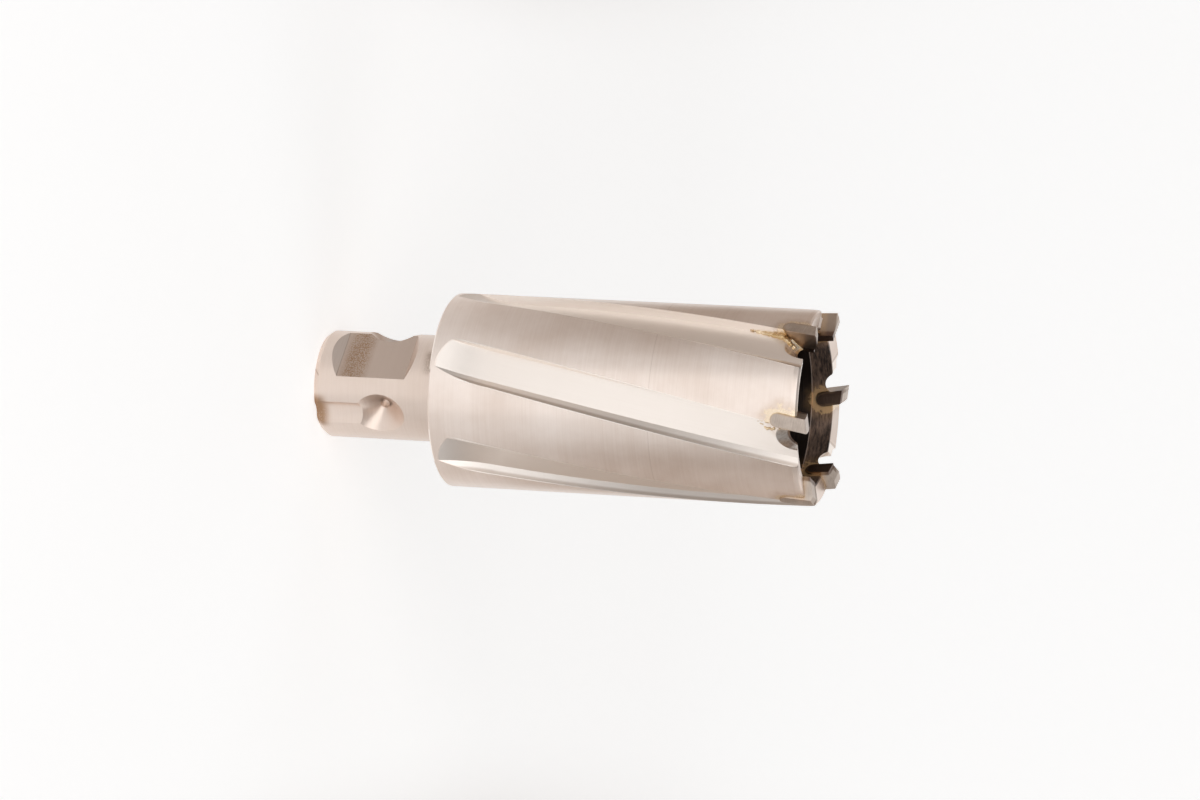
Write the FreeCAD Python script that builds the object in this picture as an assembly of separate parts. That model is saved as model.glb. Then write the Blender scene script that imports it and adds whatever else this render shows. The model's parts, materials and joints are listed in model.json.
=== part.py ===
import FreeCAD, Part
import math
import os

from FreeCAD import Vector

# Carbide-tipped annular cutter, standing on the end of its shank with the teeth up.
# The origin is the centre of the shank's end face and +Z runs up the axis. Millimetres.

# shank, standard 3/4 inch
shank_radius = 9.525
shank_length = 23.8
shank_chamfer_radial = 0.7
shank_chamfer_axial = 1.0

# cup
tooth_count = 6
cutting_diameter = 35.0
side_clearance = 0.275
body_radius = cutting_diameter / 2 - side_clearance
body_length = 66.12
shoulder_chamfer = 0.35
rim_taper_radial = 0.1
rim_taper_axial = 1.1
rim_edge = 0.25
rim_dish = 0.6
rim_z = shank_length + body_length

# slug cavity and pilot bore
tip_inner_radius = 13.3
slug_clearance = 0.2
cavity_radius = tip_inner_radius + slug_clearance
cavity_depth = 55.0
cavity_corner = 1.0
rim_recess_radius = cavity_radius + 0.2
rim_recess_depth = 4.3
bore_radius = 4.0
bore_chamfer = 0.6

# helical flutes: a wall on the rake side, a flat floor and a sloping wall behind it
helix_angle = 12.0
helix_lead = 2 * math.pi * body_radius / math.tan(math.radians(helix_angle))
twist = 360.0 / helix_lead
flute_wall_at_rim = -77.12
flute_depth = 1.55
flute_floor_angle = 20.15
flute_corner_radius = body_radius - 1.325
flute_width_angle = 24.1
runout_height = 12.0
runout_cutter_radius = 38.0
runout_cutter_sweep = 30.0

# carbide tips
tip_thickness = 2.4
tip_protrusion = 1.9
low_tip_step = 0.25
tip_seated_length = 4.28
tip_lean = 10.0
tip_seat_tilt = 15.0
rake_angle_at_rim = -76.1
tip_margin = 1.1
tip_side_relief = 8.0
tip_end_clearance = 8.0

# braze
braze_gap = 0.15

# gullets, cut at a slant so that the chip is led out into the flute
gullet_radius = 2.5
gullet_centre = 1.35
gullet_slant = 48.0
gullet_floor_radius = 15.7
gullet_depth = 4.15

# side-lock flats
flat_angles = (-131.0, 139.0)
flat_depth = 1.58
flat_bottom_z = 4.3
flat_top_z = 16.9

# ball sockets of the quick-change chuck
socket_first_angle = -56.5
socket_count = 3
socket_z = shank_length - 11.65
socket_mouth_radius = 4.66
socket_pilot_radius = 0.85
socket_pilot_depth = 0.95
groove_half_width = 2.15
groove_depth = 1.2

over = 2.0

os.makedirs("parts", exist_ok=True)


def radial(angle):
    return Vector(math.cos(math.radians(angle)), math.sin(math.radians(angle)), 0)


def tangent(angle):
    return Vector(-math.sin(math.radians(angle)), math.cos(math.radians(angle)), 0)


def solid_from(points, direction):
    face = Part.Face(Part.makePolygon(points + [points[0]]))
    return face.extrude(direction)


def turned_blank():
    roof_z = rim_z - cavity_depth
    profile = [
        (bore_radius + bore_chamfer, 0),
        (shank_radius - shank_chamfer_radial, 0),
        (shank_radius, shank_chamfer_axial),
        (shank_radius, shank_length),
        (body_radius - shoulder_chamfer, shank_length),
        (body_radius, shank_length + shoulder_chamfer),
        (body_radius, rim_z - rim_taper_axial),
        (body_radius - rim_taper_radial, rim_z - rim_edge),
        (body_radius - rim_taper_radial - rim_edge, rim_z),
        (rim_recess_radius, rim_z - rim_dish),
        (rim_recess_radius, rim_z - rim_recess_depth),
        (cavity_radius, rim_z - rim_recess_depth),
        (cavity_radius, roof_z + cavity_corner),
        (cavity_radius - cavity_corner, roof_z),
        (bore_radius + bore_chamfer, roof_z),
        (bore_radius, roof_z - bore_chamfer),
        (bore_radius, bore_chamfer),
    ]
    points = [Vector(r, 0, z) for r, z in profile]
    face = Part.Face(Part.makePolygon(points + [points[0]]))
    return face.revolve(Vector(0, 0, 0), Vector(0, 0, 1), 360)


def climbed(corner, z):
    # a corner of the flute's section, drawn at height 0, carried up the helix
    turned = corner + Vector(0, 0, z)
    angle = math.radians(z * twist)
    turned.x = corner.x * math.cos(angle) - corner.y * math.sin(angle)
    turned.y = corner.x * math.sin(angle) + corner.y * math.cos(angle)
    return turned


def flute_section():
    # the rake-side wall is on +X; then the floor, the sloping wall and the room outside the cup
    floor_start = Vector(body_radius - flute_depth, 0, 0)
    floor_end = radial(flute_floor_angle) * flute_corner_radius
    lip = radial(flute_width_angle) * body_radius
    outside = lip + (lip - floor_end) * 2
    return [
        floor_start,
        floor_end,
        outside,
        Vector(body_radius + over, outside.y, 0),
        Vector(body_radius + over, 0, 0),
    ]


def flute_tool():
    # towards the shoulder the flute ends in the imprint of the milling cutter, which stood square
    # to the helix and had the flute's section as its edge
    section = flute_section()
    contact = climbed((section[0] + section[1]) * 0.5, shank_length + runout_height)
    floor = climbed(section[1], contact.z) - climbed(section[0], contact.z)
    along = Vector(-contact.y, contact.x, 0) * math.radians(twist) + Vector(0, 0, 1)
    along.normalize()
    out = floor.cross(along).normalize()
    across = along.cross(out)

    corners = []
    for corner in section:
        z = contact.z
        for step in range(6):
            z -= (climbed(corner, z) - contact).dot(along)
        corners.append(climbed(corner, z))
    edge = Part.makePolygon(corners + [corners[0]])
    wheel_centre = contact + out * runout_cutter_radius
    imprint = Part.Face(edge).revolve(wheel_centre, across, -runout_cutter_sweep)

    length = rim_z + 2 * over - contact.z
    guide = Part.makeHelix(helix_lead, length, body_radius)
    guide.translate(Vector(0, 0, contact.z))
    spine = Part.makeLine(Vector(0, 0, contact.z), Vector(0, 0, contact.z + length))
    sweep = Part.BRepOffsetAPI.MakePipeShell(Part.Wire([spine]))
    sweep.setAuxiliarySpine(Part.Wire(guide.Edges), True, 0)
    sweep.add(edge)
    sweep.build()
    sweep.makeSolid()
    tool = sweep.shape().fuse(imprint)
    tool.rotate(Vector(0, 0, 0), Vector(0, 0, 1), flute_wall_at_rim - rim_z * twist)
    return tool


class ToothFrame:
    # the rake plane of one tooth: "up" follows the tip, "back" goes into the land behind it
    def __init__(self):
        lean = math.radians(tip_lean)
        self.out = radial(rake_angle_at_rim)
        self.side = tangent(rake_angle_at_rim)
        self.up = Vector(0, 0, math.cos(lean)) + self.side * math.sin(lean)
        self.back = Vector(0, 0, math.sin(lean)) - self.side * math.cos(lean)
        self.origin = Vector(0, 0, rim_z)

    def at(self, back, up, out=0.0):
        return self.origin + self.back * back + self.up * up + self.out * out


def pocket(frame, clearance):
    # U shape with a round bottom, run through the wall and lower at the outside than at the inside
    tilt = math.radians(tip_seat_tilt)
    through = frame.out * math.cos(tilt) - frame.up * math.sin(tilt)
    rise = frame.up * math.cos(tilt) + frame.out * math.sin(tilt)
    middle = (cutting_diameter / 2 + tip_inner_radius) / 2
    radius = tip_thickness / 2 + clearance
    centre = frame.at(tip_thickness / 2, -tip_seated_length, middle) + rise * tip_thickness / 2
    top = rise * (tip_seated_length + 2 * over)
    edges = [
        Part.makeLine(centre - frame.back * radius + top, centre - frame.back * radius),
        Part.Arc(centre - frame.back * radius, centre - rise * radius, centre + frame.back * radius).toShape(),
        Part.makeLine(centre + frame.back * radius, centre + frame.back * radius + top),
        Part.makeLine(centre + frame.back * radius + top, centre - frame.back * radius + top),
    ]
    outline = Part.Face(Part.Wire(edges))
    outline.translate(through * -2 * over)
    return outline.extrude(through * 4 * over)


def ring(inner, outer, bottom, top):
    tube = Part.makeCylinder(outer, top - bottom, Vector(0, 0, bottom))
    return tube.cut(Part.makeCylinder(inner, top - bottom, Vector(0, 0, bottom)))


def end_grinds():
    # end edges of three teeth in turn: depth in from the rim of the cut, and height from the highest point
    width = cutting_diameter / 2 - tip_inner_radius
    level = [(0, -0.1), (0.35, 0), (0.5 * width, -0.1), (width, -0.45)]
    pointed = [(0, -0.38), (0.95, 0), (width, -0.8)]
    stepped = [(0, -0.15), (0.5, 0), (0.5 * width, -0.05), (0.87 * width, -0.8), (width, -0.8)]
    return [level, pointed, stepped]


def carbide_tip(frame, grind, protrusion):
    tip_radius = cutting_diameter / 2
    blank = pocket(frame, 0)
    blank = blank.common(ring(tip_inner_radius, tip_radius, rim_z - 4 * over, rim_z + 4 * over))

    # side relief behind the narrow margin along the rake edge
    relief = math.radians(tip_side_relief)
    start = frame.at(tip_margin, 0, tip_radius)
    slope = frame.back * math.cos(relief) - frame.out * math.sin(relief)
    low = start - frame.up * 4 * over
    wedge = solid_from(
        [low, low + slope * 3 * over, low + slope * 3 * over + frame.out * over, low + frame.out * over],
        frame.up * 8 * over,
    )
    blank = blank.cut(wedge)

    # end edge, falling away behind the rake face
    top = frame.at(0, protrusion / math.cos(math.radians(tip_lean)))
    clearance = math.radians(tip_end_clearance)
    fall = frame.side * -math.cos(clearance) - Vector(0, 0, math.sin(clearance))
    edge = [(tip_radius - depth, rise) for depth, rise in grind]
    edge = [(tip_radius + over, edge[0][1])] + edge + [(tip_inner_radius - over, edge[-1][1])]
    edge = edge + [(tip_inner_radius - over, 3 * over), (tip_radius + over, 3 * over)]
    points = [top + frame.out * r + Vector(0, 0, rise) - fall * over for r, rise in edge]
    return blank.cut(solid_from(points, fall * 4 * over))


def gullet_tool(frame):
    # a round-ended slot in front of the rake face, its floor sloping out towards the shank
    slant = math.radians(gullet_slant)
    axis = frame.out * math.cos(slant) - Vector(0, 0, math.sin(slant))
    rise = frame.out * math.sin(slant) + Vector(0, 0, math.cos(slant))
    bottom = Vector(0, 0, rim_z - gullet_depth) + frame.out * gullet_floor_radius
    centre = bottom + frame.side * gullet_centre + rise * gullet_radius - axis * 5 * over
    length = axis * 10 * over
    slot = Part.makeCylinder(gullet_radius, 10 * over, centre, axis)
    low = centre - frame.side * gullet_radius
    high = centre + frame.side * gullet_radius
    slot = slot.fuse(solid_from([low, high, high + rise * 6 * over, low + rise * 6 * over], length))
    ahead = frame.at(0, -6 * over, cavity_radius - over)
    room = solid_from(
        [
            ahead,
            ahead - frame.back * 6 * over,
            ahead - frame.back * 6 * over + frame.up * 12 * over,
            ahead + frame.up * 12 * over,
        ],
        frame.out * (body_radius - cavity_radius + 3 * over),
    )
    return slot.common(room)


def flat_tool(angle):
    floor = shank_radius - flat_depth
    profile = [
        (floor, flat_bottom_z),
        (floor, flat_top_z),
        (floor + over, flat_top_z + over),
        (floor + over, flat_bottom_z - over),
    ]
    points = [radial(angle) * r + Vector(0, 0, z) - tangent(angle) * shank_radius for r, z in profile]
    return solid_from(points, tangent(angle) * 2 * shank_radius)


def socket_tool(angle):
    # right-angled cone with the small hole of its centre drill at the bottom
    out = radial(angle)
    apex = out * (shank_radius - socket_mouth_radius) + Vector(0, 0, socket_z)
    depth = socket_mouth_radius + over
    cone = Part.makeCone(0, depth, depth, apex, out)
    hole_bottom = apex + out * (socket_pilot_radius - socket_pilot_depth)
    return cone.fuse(Part.makeCylinder(socket_pilot_radius, socket_mouth_radius, hole_bottom, out))


def groove_tool(angle):
    # round-bottomed lead-in from the shank's end to the first socket
    sagitta = groove_depth - (shank_radius - math.sqrt(shank_radius ** 2 - groove_half_width ** 2))
    radius = (groove_half_width ** 2 + sagitta ** 2) / (2 * sagitta)
    centre = radial(angle) * (shank_radius - groove_depth + radius) - Vector(0, 0, over)
    return Part.makeCylinder(radius, socket_z + over, centre, Vector(0, 0, 1))


def spun(shape, index):
    copy = shape.copy()
    copy.rotate(Vector(0, 0, 0), Vector(0, 0, 1), 360.0 / tooth_count * index)
    return copy


def save(shape, name):
    solids = shape.Solids
    print(name, "solids", len(solids), "valid", solids[0].isValid(), "volume", round(shape.Volume, 3))
    solids[0].exportStep("parts/" + name + ".step")


frame = ToothFrame()
flute = flute_tool()
seat = pocket(frame, braze_gap)
gullet = gullet_tool(frame)
grinds = end_grinds()

blank = turned_blank()
unseated = blank.cut([spun(flute, i) for i in range(tooth_count)])
unseated = unseated.cut([spun(gullet, i) for i in range(tooth_count)])
unseated = unseated.cut([flat_tool(angle) for angle in flat_angles])
sockets = [socket_tool(socket_first_angle + 360.0 / socket_count * i) for i in range(socket_count)]
unseated = unseated.cut(sockets)
unseated = unseated.cut(groove_tool(socket_first_angle))
body = unseated.cut([spun(seat, i) for i in range(tooth_count)])
save(body, "cutter_body")

for i in range(tooth_count):
    protrusion = tip_protrusion - low_tip_step * (i % 2)
    tip = spun(carbide_tip(frame, grinds[i % len(grinds)], protrusion), i)
    save(tip, "carbide_tip_%d" % (i + 1))
    braze = unseated.common(spun(seat, i)).cut(tip)
    save(braze, "braze_joint_%d" % (i + 1))
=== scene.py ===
import json
import math

import bpy
from mathutils import Matrix, Vector


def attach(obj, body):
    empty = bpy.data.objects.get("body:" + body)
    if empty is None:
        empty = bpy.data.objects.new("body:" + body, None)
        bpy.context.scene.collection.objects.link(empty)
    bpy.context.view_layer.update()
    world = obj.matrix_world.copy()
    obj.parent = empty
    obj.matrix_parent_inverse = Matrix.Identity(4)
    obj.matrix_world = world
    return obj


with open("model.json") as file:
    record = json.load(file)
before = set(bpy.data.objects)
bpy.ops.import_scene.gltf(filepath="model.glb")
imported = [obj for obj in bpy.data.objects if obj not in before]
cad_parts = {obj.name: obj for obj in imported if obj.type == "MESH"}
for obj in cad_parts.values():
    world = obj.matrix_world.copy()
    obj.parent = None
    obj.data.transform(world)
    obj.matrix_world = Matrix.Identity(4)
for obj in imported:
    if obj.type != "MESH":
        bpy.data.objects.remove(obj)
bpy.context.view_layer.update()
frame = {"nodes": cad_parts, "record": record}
bpy.ops.object.select_all(action="DESELECT")
print("stage: frame loaded")


class Wire:
    # an output socket that can be written in sums
    def __init__(self, finish, socket):
        self.finish = finish
        self.socket = socket

    def math(self, operation, *others):
        values = {0: self}
        for place, other in enumerate(others):
            values[place + 1] = other
        return self.finish.node("ShaderNodeMath", {"operation": operation}, values)

    def __add__(self, other):
        return self.math("ADD", other)

    def __radd__(self, other):
        return self.math("ADD", other)

    def __sub__(self, other):
        return self.math("SUBTRACT", other)

    def __rsub__(self, other):
        return self.finish.node("ShaderNodeMath", {"operation": "SUBTRACT"}, {0: other, 1: self})

    def __mul__(self, other):
        return self.math("MULTIPLY", other)

    def __abs__(self):
        return self.math("ABSOLUTE")

    def atMost(self, limit):
        return self.math("MINIMUM", limit)

    def atLeast(self, limit):
        return self.math("MAXIMUM", limit)

    # masks, which fade from 0 to 1 over a soft edge
    def above(self, edge, soft):
        reach = {0: self, 1: edge - soft, 2: edge + soft, 3: 0.0, 4: 1.0}
        return self.finish.node("ShaderNodeMapRange", {"interpolation_type": "SMOOTHSTEP"}, reach)

    def below(self, edge, soft):
        return self.above(edge, -soft)

    def band(self, low, high, soft):
        return self.above(low, soft) * self.below(high, soft)


class Finish:
    def __init__(self, name):
        self.material = bpy.data.materials.new(name)
        self.material.use_nodes = True
        self.tree = self.material.node_tree
        self.tree.nodes.clear()

    def node(self, kind, settings, values, output=0):
        made = self.tree.nodes.new(kind)
        for key, value in settings.items():
            setattr(made, key, value)
        for key, value in values.items():
            if isinstance(value, Wire):
                self.tree.links.new(value.socket, made.inputs[key])
            else:
                made.inputs[key].default_value = value
        return Wire(self, made.outputs[output]) if made.outputs else None

    def mix(self, mask, low, high):
        return self.node("ShaderNodeMix", {"data_type": "RGBA"}, {0: mask, 6: low, 7: high}, 2)

    def point(self, x, y, z):
        return self.node("ShaderNodeCombineXYZ", {}, {0: x, 1: y, 2: z})

    def noise(self, place, scale, detail, rough):
        values = {"Vector": place, "Scale": scale, "Detail": detail, "Roughness": rough}
        return self.node("ShaderNodeTexNoise", {}, values)

    def bump(self, height, strength, distance):
        values = {"Strength": strength, "Distance": distance, "Height": height}
        return self.node("ShaderNodeBump", {}, values)

    def objectSpot(self):
        spot = self.node("ShaderNodeTexCoord", {}, {}, "Object")
        return spot, [self.node("ShaderNodeSeparateXYZ", {}, {0: spot}, axis) for axis in "XYZ"]

    def show(self, skin):
        self.node("ShaderNodeOutputMaterial", {}, {"Surface": skin})
        return self.material

    def surface(self, values):
        return self.show(self.node("ShaderNodeBsdfPrincipled", {}, values))

    def grained(self, values, along, plain):
        # ground metal: its shine spreads across the grinding lines, round the axis or along it
        ringed = dict(values, **{"Anisotropic": 0.75, "Anisotropic Rotation": 0.25})
        stroked = dict(values, **{"Anisotropic": 0.5, "Anisotropic Rotation": 0.0})
        ringed = self.node("ShaderNodeBsdfPrincipled", {}, ringed)
        stroked = self.node("ShaderNodeBsdfPrincipled", {}, stroked)
        even = self.node("ShaderNodeBsdfPrincipled", {}, values)
        ground = self.node("ShaderNodeMixShader", {}, {0: along, 1: ringed, 2: stroked})
        return self.show(self.node("ShaderNodeMixShader", {}, {0: plain, 1: ground, 2: even}))


def rgb(r, g, b):
    return (r, g, b, 1.0)


# the cutter's own measures, in millimetres and degrees
cutter = {
    "rimHeight": 89.92,
    "recessHeight": 85.62,
    "cavityFloor": 34.92,
    "shoulderHeight": 23.8,
    "bodyRadius": 17.225,
    "fluteFloor": 15.45,
    "cavityRadius": 13.5,
    "shankRadius": 9.525,
    "twist": 0.7068,
    "fluteWall": -77.12,
    "fluteWidth": 24.1,
    "beforeFlute": 10.0,
    "toothSpacing": 60.0,
    "rakeAngle": -76.1,
    "tipLean": 10.0,
    "tipThickness": 2.4,
    "seatBottom": -4.28,
    "seatTilt": 15.0,
    "middleRadius": 15.4,
    "flatAngle": -131.0,
    "flatDistance": 7.95,
    "grooveAngle": -56.5,
}


class Place:
    # where a point of the cutter lies: height, distance from the axis, turn, and place at its tooth
    def __init__(self, finish):
        self.spot, axes = finish.objectSpot()
        self.x, self.y, self.z = [axis * 1000 for axis in axes]
        self.radius = (self.x * self.x + self.y * self.y).math("SQRT")
        self.turn = self.y.math("ARCTAN2", self.x) * math.degrees(1)
        above = self.z - cutter["rimHeight"]
        climb = above * cutter["twist"]
        spacing = cutter["toothSpacing"]
        before = cutter["beforeFlute"]
        self.flute = (self.turn - cutter["fluteWall"] - climb).math("WRAP", spacing - before, -before)
        behind = (self.turn - cutter["rakeAngle"]).math("WRAP", spacing / 2, -spacing / 2)
        behind = behind * self.radius * -math.radians(1)
        lean = math.radians(cutter["tipLean"])
        self.back = behind * math.cos(lean) + above * math.sin(lean)
        self.up = above * math.cos(lean) - behind * math.sin(lean)
        # distance outside the edge of the U-shaped seat
        half = cutter["tipThickness"] / 2
        across = abs(self.back - half)
        slope = math.tan(math.radians(cutter["seatTilt"]))
        below = self.up + (self.radius - cutter["middleRadius"]) * slope - (cutter["seatBottom"] + half)
        below = below.atMost(0.0)
        self.fromSeat = (across * across + below * below).math("SQRT") - half


# where the marks of making and of use lie on the steel, in millimetres and degrees
marks = {
    "turnedLine": 63.7,
    "lipStart": 28.5,
    "rimBand": 1.075,
    "flatRust": (5.2, 9.2),
    "grooveRustHeight": 1.9,
    "grooveRustReach": 18.0,
    "stainHeights": (20.4, 23.6),
    "stainTurn": -119.0,
    "stainReach": 12.5,
    "gulletBottom": 84.0,
    "gulletTop": 89.2,
    "teethStart": 81.0,
    "scaleReach": 1.7,
    "spillReach": 0.95,
}


class SteelPlace(Place):
    # the same with the regions of the steel body, as masks
    def __init__(self, finish):
        super().__init__(finish)
        self.shank = self.z.below(cutter["shoulderHeight"], 0.02)
        self.outside = self.radius.above(cutter["bodyRadius"] - 0.06, 0.03)
        self.inside = self.radius.below(cutter["cavityRadius"] + 0.55, 0.15)
        self.inside = self.inside * self.z.above(cutter["cavityFloor"] - 0.62, 0.3)
        self.deep = self.z.below(cutter["recessHeight"] - 0.05, 0.1)
        self.inFlute = self.flute.band(-1.2, cutter["fluteWidth"] + 0.4, 0.1)
        self.inFlute = self.inFlute * (1 - self.outside) * (1 - self.shank) * (1 - self.inside)
        angle = math.radians(cutter["flatAngle"])
        distance = self.x * math.cos(angle) + self.y * math.sin(angle)
        self.onFlat = distance.band(cutter["flatDistance"] - 0.1, cutter["flatDistance"] + 0.1, 0.05)
        self.onFlat = self.onFlat * self.radius.below(cutter["shankRadius"] - 0.035, 0.02) * self.shank
        self.drilled = self.radius.below(cutter["shankRadius"] - 0.065, 0.04) * (1 - self.onFlat)
        self.drilled = self.drilled * self.shank
        self.gullet = self.radius.below(cutter["fluteFloor"] - 0.025, 0.075) * (1 - self.inside)
        self.gullet = self.gullet * self.z.above(marks["gulletBottom"], 0.5)
        self.gullet = self.gullet * self.z.below(marks["gulletTop"], 0.2)
        self.nearTeeth = (1 - self.shank) * self.z.above(marks["teethStart"], 2.0)


steel = {
    "bright": rgb(0.95, 0.85, 0.785),
    "dull": rgb(0.77, 0.645, 0.565),
    "floor": rgb(0.97, 0.90, 0.84),
    # the lip colour is a painted highlight along the flutes' edges
    "lip": rgb(0.95, 0.91, 0.86),
    "shank": rgb(0.70, 0.575, 0.495),
    "milled": rgb(0.50, 0.385, 0.315),
    # wall: dark brown, painted shade on the flutes' lower walls, also used for the turned line and the
    # gullets
    "wall": rgb(0.40, 0.29, 0.22),
    # inside and insideRim: the cavity's brown, near-black deep down and lighter by the rim, partly
    # painted shade
    "inside": rgb(0.013, 0.006, 0.004),
    "insideRim": rgb(0.46, 0.30, 0.22),
    "rust": rgb(0.43, 0.23, 0.095),
    "stain": rgb(0.20, 0.12, 0.07),
    "braze": rgb(0.95, 0.81, 0.62),
    "brazeBrown": rgb(0.46, 0.27, 0.12),
    "brazeInside": rgb(0.85, 0.54, 0.27),
    "roughness": 0.34,
    "smoothest": 0.12,
    "bumpStrength": 0.16,
    "bumpDistance": 0.00005,
}
# how far each layer covers the ones below it
cover = {
    "wall": 0.55,
    "lip": 0.75,
    "rim": 0.35,
    "turnedLine": 0.2,
    "stepEdge": 0.6,
    "inside": 0.97,
    "shank": 0.55,
    "milled": 0.6,
    "stain": 0.8,
    "rust": 0.8,
    "gullet": 0.8,
    "scale": 0.3,
    "spill": 0.75,
}
# grinding lines: repeats per millimetre in each direction, then scale, detail and roughness of the noise
grinding = {
    "coarse": {
        "along": 0.03,
        "ring": 2.6,
        "ringNoise": (1.0, 5.0, 0.8),
        "flute": 2.6,
        "wall": 2.4,
        "strokeNoise": (1.0, 4.0, 0.75),
    },
    "fine": {
        "along": 0.09,
        "ring": 19.0,
        "ringNoise": (1.0, 3.0, 0.7),
        "flute": 12.0,
        "wall": 9.0,
        "strokeNoise": (1.0, 3.0, 0.7),
    },
}
# spots without a direction: repeats per metre, detail and roughness of the noise
spots = {
    "cloud": (70.0, 4.0, 0.6),
    "drift": (300.0, 3.0, 0.65),
    "speck": (1500.0, 4.0, 0.75),
    "grit": (5200.0, 2.0, 0.6),
}


def ringLines(f, p, lines):
    ring = f.point(p.x * lines["along"], p.y * lines["along"], p.z * lines["ring"])
    return f.noise(ring, *lines["ringNoise"])


def grindingLines(f, p, lines):
    # round the cup and the shank, and along the flutes
    ring = ringLines(f, p, lines)
    stroke = f.point(p.flute * lines["flute"], p.z * lines["along"], p.radius * lines["wall"])
    stroke = f.noise(stroke, *lines["strokeNoise"])
    return ring + (stroke - ring) * p.inFlute


def cavityOilAndPaintedShade(f, p, cloud):
    # browned by cutting oil and heat, with painted shade: near-black deep in the cavity, lighter and
    # mottled by the rim
    streak = f.noise(f.point(p.x * 0.5, p.y * 0.5, p.z * 2.2), 1.0, 4.0, 0.7)
    nearRim = f.mix((streak * 0.6 + cloud * 0.6).above(0.6, 0.2), steel["inside"], steel["insideRim"])
    darkness = (0.72 + ringLines(f, p, grinding["coarse"]) * 0.5).atMost(1.0)
    shade = f.mix(p.deep * darkness, nearRim, steel["inside"])
    stepEdge = abs(p.z - cutter["recessHeight"]).below(0.055, 0.035)
    return f.mix(stepEdge * cover["stepEdge"], shade, steel["dull"])


def rustMask(p, cloud, grit):
    scatter = (cloud * 0.45 + grit * 1.1).above(0.79, 0.13)
    onFlat = p.onFlat * p.z.band(*marks["flatRust"], 1.1) * (0.12 + scatter * 1.1).atMost(1.0)
    atGroove = abs(p.turn - cutter["grooveAngle"]).below(marks["grooveRustReach"], 6.0)
    atGroove = atGroove * p.z.below(marks["grooveRustHeight"], 1.1)
    atGroove = atGroove * (cloud * 0.7 + grit * 0.5).above(0.56, 0.06)
    return (onFlat + atGroove).atMost(1.0) * p.shank


def stainMask(p, cloud, grit):
    near = abs(p.turn - marks["stainTurn"]).below(marks["stainReach"], 5.5)
    near = near * p.z.band(*marks["stainHeights"], 0.9)
    return near * (cloud * 0.8 + grit * 0.5).above(0.525, 0.175) * p.shank


def steelFinish():
    f = Finish("groundToolSteel")
    p = SteelPlace(f)
    lines = grindingLines(f, p, grinding["coarse"])
    hair = grindingLines(f, p, grinding["fine"])
    cloud = f.noise(p.spot, *spots["cloud"])
    drift = f.noise(p.spot, *spots["drift"])
    speck = f.noise(p.spot, *spots["speck"])
    grit = f.noise(p.spot, *spots["grit"])

    shade = (lines * 0.3 + hair * (0.22 + p.shank * 0.5) + cloud * 0.8 - p.shank * 0.25).above(0.65, 0.3)
    colour = f.mix(shade, steel["dull"], steel["bright"])
    colour = f.mix(p.inFlute * (0.45 + hair * 0.8).atMost(1.0), colour, steel["floor"])

    # painted shade as a dark band on the flutes' lower walls, a painted highlight along their smoother
    # lips, the worn rim and one turned line
    wall = p.inFlute * p.flute.above(cutter["fluteWidth"] - 1.55, 0.65)
    lip = abs(p.flute).below(0.35, 0.2) + abs(p.flute - cutter["fluteWidth"]).below(0.31, 0.19)
    lip = lip * p.outside * p.z.above(marks["lipStart"], 1.5)
    rim = p.outside * p.z.above(cutter["rimHeight"] - marks["rimBand"], 0.075)
    turned = abs(p.z - marks["turnedLine"]).below(0.065, 0.035) * p.outside
    colour = f.mix(wall * cover["wall"], colour, steel["wall"])
    colour = f.mix(lip * cover["lip"], colour, steel["lip"])
    colour = f.mix(rim * cover["rim"], colour, steel["dull"])
    colour = f.mix(turned * cover["turnedLine"], colour, steel["wall"])

    # the cavity gets its oil brown and its painted shade
    colour = f.mix(p.inside * cover["inside"], colour, cavityOilAndPaintedShade(f, p, cloud))
    colour = f.mix(p.shank * cover["shank"], colour, steel["shank"])
    colour = f.mix(p.onFlat * cover["milled"], colour, steel["milled"])
    colour = f.mix(stainMask(p, cloud, grit) * cover["stain"], colour, steel["stain"])
    rust = rustMask(p, cloud, grit)
    colour = f.mix(rust * cover["rust"], colour, steel["rust"])

    # the gullets in front of the tips are rough and browned
    burr = f.noise(f.point(p.turn * 0.9, p.z * 0.8, p.radius * 1.4), 1.0, 4.0, 0.75)
    colour = f.mix(p.gullet * burr.above(0.55, 0.25) * cover["gullet"], colour, steel["wall"])

    # braze that ran out beside the seats, and the brown scale round it
    ragged = p.fromSeat + (drift - 0.5) * 4.0
    scale = ragged.below(marks["scaleReach"], 1.1) * p.nearTeeth
    spill = (ragged + (speck - 0.5) * 1.6).below(marks["spillReach"], 0.2) * p.nearTeeth
    flowed = f.mix((1 - p.inside) * speck * 0.3, steel["braze"], steel["brazeBrown"])
    flowed = f.mix(p.inside, flowed, steel["brazeInside"])
    colour = f.mix(scale * cover["scale"], colour, steel["brazeBrown"])
    colour = f.mix(spill * cover["spill"], colour, flowed)

    roughness = steel["roughness"] + (hair - 0.5) * 0.2 + (cloud - 0.5) * 0.1 + rust * 0.3
    roughness = roughness + p.inside * 0.12 + p.onFlat * 0.12 - lip * 0.1 - spill * 0.08
    height = lines * 0.6 + hair * 0.5 + spill * (1.6 + speck * 2.0) + rust * speck * 1.2
    height = height + p.onFlat * speck * 0.6 + p.gullet * burr * 2.0
    values = {
        "Base Color": colour,
        "Metallic": (1 - rust * 0.4) * (1 - p.inside * (1 - p.deep) * 0.35),
        "Roughness": roughness.atLeast(steel["smoothest"]),
        "Normal": f.bump(height, steel["bumpStrength"], steel["bumpDistance"]),
    }
    return f.grained(values, p.inFlute, p.drilled)


# the last four say in millimetres where a tip's browned front and its inner side, painted dark as shade,
# end
carbide = {
    "outer": rgb(0.66, 0.57, 0.50),
    "inner": rgb(0.15, 0.095, 0.07),
    "worn": rgb(0.40, 0.33, 0.28),
    "rake": rgb(0.245, 0.175, 0.13),
    "stain": rgb(0.50, 0.33, 0.19),
    "roughness": 0.36,
    "bumpStrength": 0.3,
    "bumpDistance": 0.00003,
    "rakeDepth": 0.75,
    "rakeRadius": 17.39,
    "rakeTop": 1.45,
    "innerRadius": 14.1,
}


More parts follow.
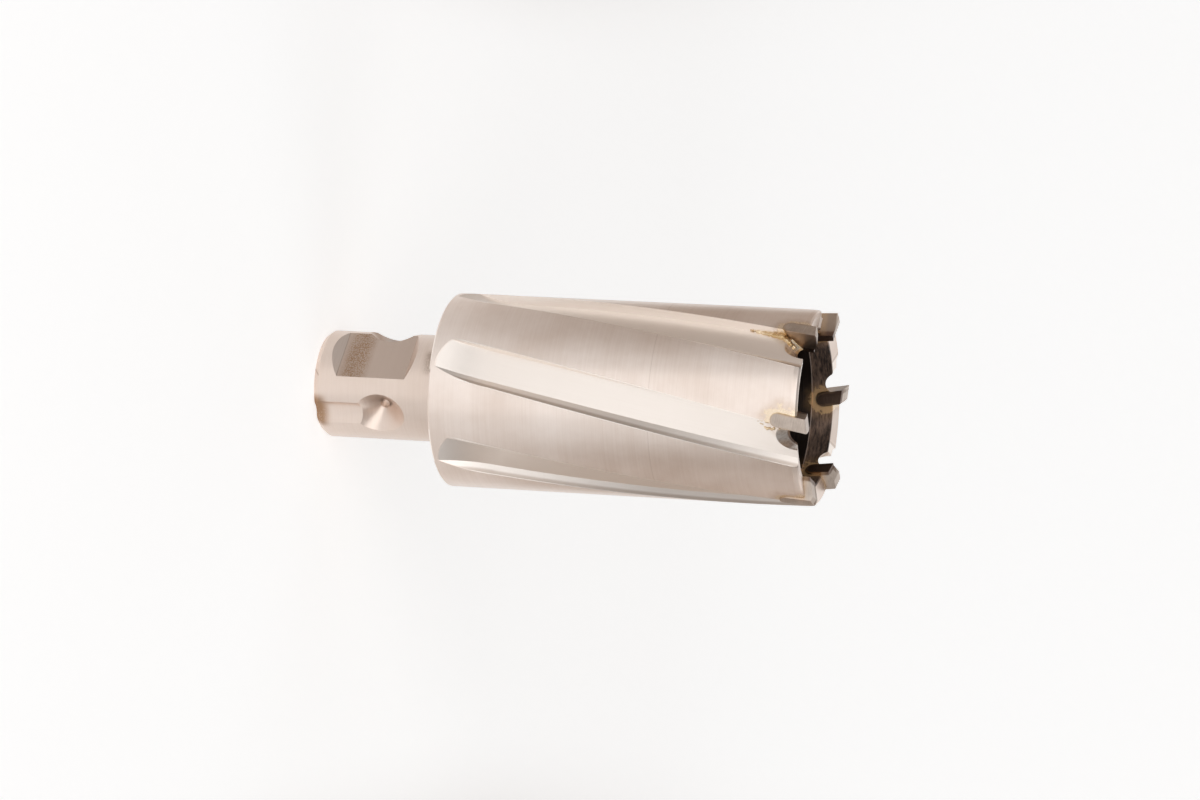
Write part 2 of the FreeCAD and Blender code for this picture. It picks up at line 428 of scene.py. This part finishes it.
def carbideFinish():
    f = Finish("groundCarbide")
    p = Place(f)
    grind = f.noise(f.point(p.back * 0.5, p.up * 9.0, p.radius * 0.6), 1.0, 3.0, 0.7)
    grain = f.noise(p.spot, 2400.0, 2.0, 0.6)
    cloud = f.noise(p.spot, 330.0, 4.0, 0.65)
    colour = f.mix((grind * 0.5 + cloud * 0.7).above(0.6, 0.3), carbide["worn"], carbide["outer"])
    # the rake face is browned by heat, and the sides that face the hole are painted dark as shade
    rake = p.back.below(carbide["rakeDepth"], 0.15) * p.radius.below(carbide["rakeRadius"], 0.09)
    rake = rake * p.up.below(carbide["rakeTop"], 0.15)
    colour = f.mix(rake * (0.5 + cloud * 0.7).atMost(1.0), colour, carbide["rake"])
    dark = (p.radius + (cloud - 0.5) * 0.5).below(carbide["innerRadius"], 0.2)
    colour = f.mix(dark * (0.75 + grind * 0.4).atMost(1.0), colour, carbide["inner"])
    stain = (p.fromSeat + (cloud - 0.5) * 1.4).above(-0.175, 0.225) * p.up.below(-0.3, 0.5)
    colour = f.mix(stain * 0.4, colour, carbide["stain"])
    roughness = carbide["roughness"] + (grain - 0.5) * 0.2 + (grind - 0.5) * 0.2
    normal = f.bump(grind * 0.6 + grain * 0.25, carbide["bumpStrength"], carbide["bumpDistance"])
    return f.surface({"Base Color": colour, "Metallic": 1.0, "Roughness": roughness, "Normal": normal})


braze = {
    "colour": rgb(0.92, 0.77, 0.56),
    "dark": rgb(0.52, 0.34, 0.16),
    "roughness": 0.3,
    "bumpStrength": 0.6,
    "bumpDistance": 0.00008,
}


def brazeFinish():
    f = Finish("silverBraze")
    spot, _ = f.objectSpot()
    lump = f.noise(spot, 700.0, 3.0, 0.6)
    cloud = f.noise(spot, 300.0, 3.0, 0.6)
    colour = f.mix((lump * 0.5 + cloud * 0.7).above(0.625, 0.175), braze["dark"], braze["colour"])
    normal = f.bump(lump, braze["bumpStrength"], braze["bumpDistance"])
    roughness = braze["roughness"] + (cloud - 0.5) * 0.3
    return f.surface({"Base Color": colour, "Metallic": 1.0, "Roughness": roughness, "Normal": normal})


finishes = {"tool_steel": steelFinish(), "carbide": carbideFinish(), "braze": brazeFinish()}
for part in frame["record"]["subparts"]:
    node = frame["nodes"][part["node"]]
    for place in node.material_slots:
        place.material = finishes[part["material_slot"]]
print("stage: finishes on the frame's nodes")


# runs of spare braze: turn in degrees, then distance from the axis, height and thickness in millimetres
beads = {
    "cornerRun": [
        (-144.6, 15.83, 79.3, 0.16),
        (-141.2, 15.65, 83.2, 0.42),
        (-139.0, 15.72, 85.4, 0.5),
        (-135.6, 15.35, 86.6, 0.46),
        (-134.4, 14.28, 87.8, 0.28),
    ],
    "besideFirstTip": [(-80.0, 15.6, 82.9, 0.14), (-75.4, 15.55, 84.5, 0.27), (-75.6, 15.55, 86.1, 0.27)],
    "otherTurns": {60: 0.45, 120: 0.6, 180: 0.55, 240: 0.65, 300: 0.5},
    "spacing": 0.4,
    "sway": 0.45,
    "swayStep": 2.3,
    "swell": 0.12,
    "swellStep": 1.7,
    "voxel": 0.11,
    "smoothing": 0.5,
    "smoothings": 4,
}


def lumpsAlong(run):
    # lumps between the points of a run, each a little off its line and a little thicker or thinner
    lumps = []
    for low, high in zip(run, run[1:]):
        steps = math.ceil((high[2] - low[2]) / beads["spacing"])
        for step in range(steps):
            turn, radius, height, thick = [a + (b - a) * step / steps for a, b in zip(low, high)]
            turn = math.radians(turn + beads["sway"] * math.sin(len(lumps) * beads["swayStep"]))
            spot = Vector((math.cos(turn) * radius, math.sin(turn) * radius, height))
            lumps.append((spot, thick * (1 + beads["swell"] * math.cos(len(lumps) * beads["swellStep"]))))
    return lumps


def brazeBead(name, run, turn, share):
    swing = Matrix.Rotation(math.radians(turn), 3, "Z")
    bpy.ops.object.select_all(action="DESELECT")
    made = []
    for spot, radius in lumpsAlong(run):
        at = swing @ spot / 1000
        bpy.ops.mesh.primitive_ico_sphere_add(subdivisions=3, radius=radius * share / 1000, location=at)
        made.append(bpy.context.object)
    for lump in made:
        lump.select_set(True)
    bpy.ops.object.join()
    bead = bpy.context.object
    bead.name = name
    bpy.ops.object.transform_apply(location=True, rotation=True, scale=True)
    melt = bead.modifiers.new("melt", "REMESH")
    melt.mode = "VOXEL"
    melt.voxel_size = beads["voxel"] / 1000
    bpy.ops.object.modifier_apply(modifier="melt")
    settle = bead.modifiers.new("settle", "SMOOTH")
    settle.factor = beads["smoothing"]
    settle.iterations = beads["smoothings"]
    bpy.ops.object.modifier_apply(modifier="settle")
    bpy.ops.object.shade_smooth()
    bead.data.materials.append(finishes["braze"])
    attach(bead, "root")


brazeBead("brazeRunCorner", beads["cornerRun"], 0, 1.0)
brazeBead("brazeRunFirstTip", beads["besideFirstTip"], 0, 1.0)
for turn, share in beads["otherTurns"].items():
    brazeBead("brazeRun%d" % turn, beads["cornerRun"][1:], turn, share)
print("stage: runs of spare braze")


# the sheet's sizes are in metres; its warm grey lies between two headings, in degrees from the front
paper = {
    "front": -1.6,
    "back": 0.55,
    "halfWidth": 1.3,
    "wall": 1.4,
    "bend": 0.3,
    "bendSteps": 16,
    "white": rgb(0.86, 0.86, 0.86),
    "shade": rgb(0.62, 0.50, 0.41),
    "fibre": rgb(0.8, 0.8, 0.8),
    "shadeFrom": 53.0,
    "shadeTo": 152.0,
    "shadeStart": 0.103,
    "glow": 0.51,
    "glowLost": 0.75,
}


def paperFinish():
    # white before and behind the cutter, and a warm grey at both sides, which darkens the cutter's edges
    f = Finish("whitePaper")
    spot, (x, y, _) = f.objectSpot()
    heading = abs(x.math("ARCTAN2", y * -1)) * math.degrees(1)
    sides = heading.above(paper["shadeFrom"], 25.0) * heading.below(paper["shadeTo"], 14.0)
    sides = sides * abs(x).above(paper["shadeStart"], 0.037)
    grain = f.noise(spot, 14.0, 2.0, 0.5)
    colour = f.mix(sides, paper["white"], paper["shade"])
    colour = f.mix(grain * 0.05, colour, paper["fibre"])
    sheet = f.node("ShaderNodeBsdfDiffuse", {}, {"Color": colour})
    rays = ("Is Camera Ray", "Is Glossy Ray", "Is Transmission Ray")
    camera, glossy, through = [f.node("ShaderNodeLightPath", {}, {}, ray) for ray in rays]
    seen = (camera + glossy + through).atMost(1.0)
    strength = seen * paper["glow"] * (1 - sides * paper["glowLost"])
    glow = f.node("ShaderNodeEmission", {}, {"Color": rgb(1, 1, 1), "Strength": strength})
    return f.show(f.node("ShaderNodeAddShader", {}, {0: sheet, 1: glow}))


def paperSweep():
    length = paper["back"] - paper["front"]
    bpy.ops.mesh.primitive_plane_add(size=1, location=(0, (paper["back"] + paper["front"]) / 2, 0))
    sweep = bpy.context.object
    sweep.name = "paperSweep"
    sweep.scale = (2 * paper["halfWidth"], length, 1)
    bpy.ops.object.transform_apply(location=True, rotation=False, scale=True)
    bpy.ops.object.mode_set(mode="EDIT")
    bpy.ops.mesh.select_all(action="DESELECT")
    bpy.ops.object.mode_set(mode="OBJECT")
    for edge in sweep.data.edges:
        ends = [sweep.data.vertices[i].co.y for i in edge.vertices]
        edge.select = min(ends) > paper["back"] - 0.01
    bpy.ops.object.mode_set(mode="EDIT")
    bpy.ops.mesh.select_mode(type="EDGE")
    bpy.ops.mesh.extrude_region_move(TRANSFORM_OT_translate={"value": (0, 0, paper["wall"])})
    bpy.ops.object.mode_set(mode="OBJECT")
    bend = sweep.modifiers.new("bend", "BEVEL")
    bend.width = paper["bend"]
    bend.segments = paper["bendSteps"]
    bpy.ops.object.modifier_apply(modifier="bend")
    bpy.ops.object.shade_smooth()
    sweep.data.materials.append(paperFinish())


lamps = {
    "front": {"at": (-0.06, -0.85, 0.42), "size": (1.05, 0.75), "power": 3.1},
    "left": {"at": (-0.85, 0.1, 0.5), "size": (0.9, 0.7), "power": 0.5},
    "right": {"at": (0.85, 0.22, 0.45), "size": (0.9, 0.7), "power": 1.5},
}
lampAim = (0, 0, 0.05)
worldGrey = 0.32


def setLamp(name, lamp):
    data = bpy.data.lights.new(name, "AREA")
    data.shape = "RECTANGLE"
    data.size, data.size_y = lamp["size"]
    data.energy = lamp["power"]
    holder = bpy.data.objects.new(name, data)
    bpy.context.scene.collection.objects.link(holder)
    holder.location = lamp["at"]
    aim = Vector(lampAim) - Vector(lamp["at"])
    holder.rotation_euler = aim.to_track_quat("-Z", "Y").to_euler()


def setWorld():
    world = bpy.data.worlds.new("studio")
    world.use_nodes = True
    background = world.node_tree.nodes["Background"].inputs["Color"]
    background.default_value = rgb(worldGrey, worldGrey, worldGrey)
    bpy.context.scene.world = world


photoCamera = {
    "at": (0.000515, -0.72364, 0.25157),
    "right": (-0.0523, 0.2675, 0.9622),
    "up": (-0.99863, -0.0140, -0.0504),
    "sensor": 36,
    "lens": 127.57,
}


def setCamera():
    data = bpy.data.cameras.new("photoCamera")
    data.sensor_fit = "HORIZONTAL"
    data.sensor_width = photoCamera["sensor"]
    data.lens = photoCamera["lens"]
    holder = bpy.data.objects.new("photoCamera", data)
    bpy.context.scene.collection.objects.link(holder)
    right = Vector(photoCamera["right"]).normalized()
    behind = right.cross(Vector(photoCamera["up"])).normalized()
    up = behind.cross(right)
    turn = Matrix((right, up, behind)).transposed().to_4x4()
    holder.matrix_world = Matrix.Translation(photoCamera["at"]) @ turn
    bpy.context.scene.camera = holder


paperSweep()
for name, lamp in lamps.items():
    setLamp(name, lamp)
setWorld()
setCamera()
bpy.context.scene.view_settings.view_transform = "Standard"
print("stage: floor, lamps and camera")
